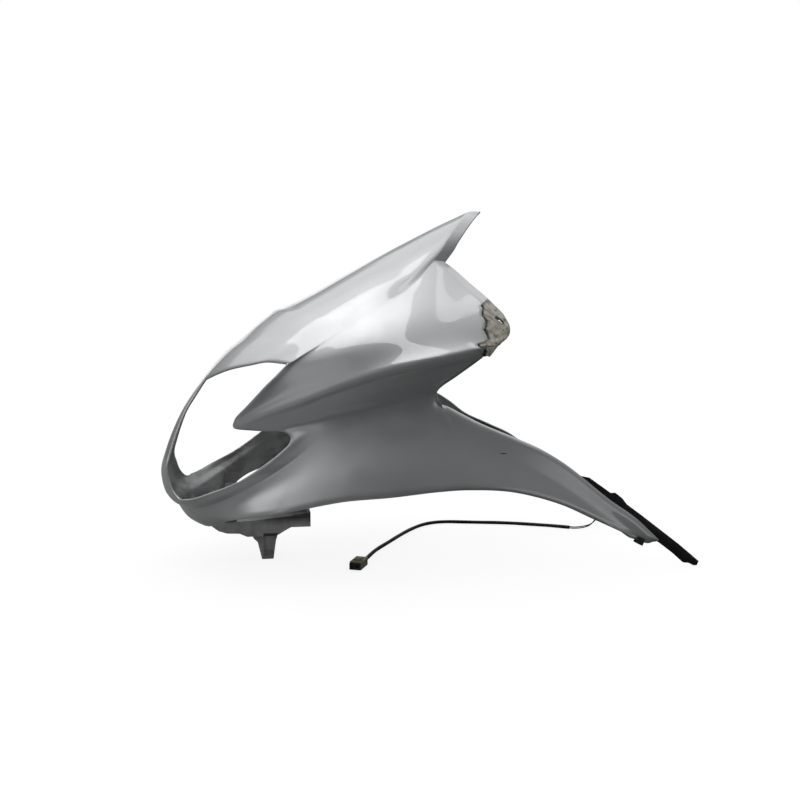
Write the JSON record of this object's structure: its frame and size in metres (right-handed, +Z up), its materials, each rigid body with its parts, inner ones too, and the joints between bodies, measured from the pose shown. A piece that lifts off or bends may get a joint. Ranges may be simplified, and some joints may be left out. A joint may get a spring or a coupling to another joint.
{
  "type": "motorbike headlight cowl",
  "caption": "Silver motorbike headlight cowl with paired lamp openings, side wings, long rear legs, a broken wing corner and a loose lead.",
  "frame": {"origin": "centre of the overall box at the level of its lowest point, where the nose tab and both black panel ends stand on the floor", "axes": "+X along the cowl towards the rear ends of its legs, +Y across to the rider's right, +Z up as it stands on the floor"},
  "size_m": [0.7674, 0.4135, 0.514],
  "materials": {
    "silver_paint": "silver metallic paint under clear coat on moulded plastic, dull overspray inside",
    "raw_laminate": "bare dirty laminate, broken edge",
    "grey_plastic": "dark grey moulded plastic, dusty",
    "black_plastic": "black moulded plastic, lightly scuffed",
    "black_rubber": "plain",
    "zinc_steel": "plated screws",
    "black_steel": "black spring steel",
    "cable_black": "smooth insulation",
    "natural_nylon": "yellowed translucent nylon, dirty"
  },
  "bodies": {
    "root": {"cowl_shell": "silver_paint", "corner_laminate": "raw_laminate", "nose_bracket": "grey_plastic", "stay_grommet": "black_rubber", "bracket_screws": "zinc_steel", "lamp_clip_left": "grey_plastic", "lamp_clip_right": "grey_plastic", "panel_left": "black_plastic", "panel_right": "black_plastic", "panel_bosses": "black_plastic", "panel_screws": "zinc_steel", "leg_clips": "black_steel", "lead_clip": "black_plastic", "lead_wire_a": "cable_black", "lead_wire_b": "cable_black", "lead_sleeve": "cable_black", "plug_shell": "natural_nylon", "plug_retainer": "black_plastic"}
  },
  "joints": []
}
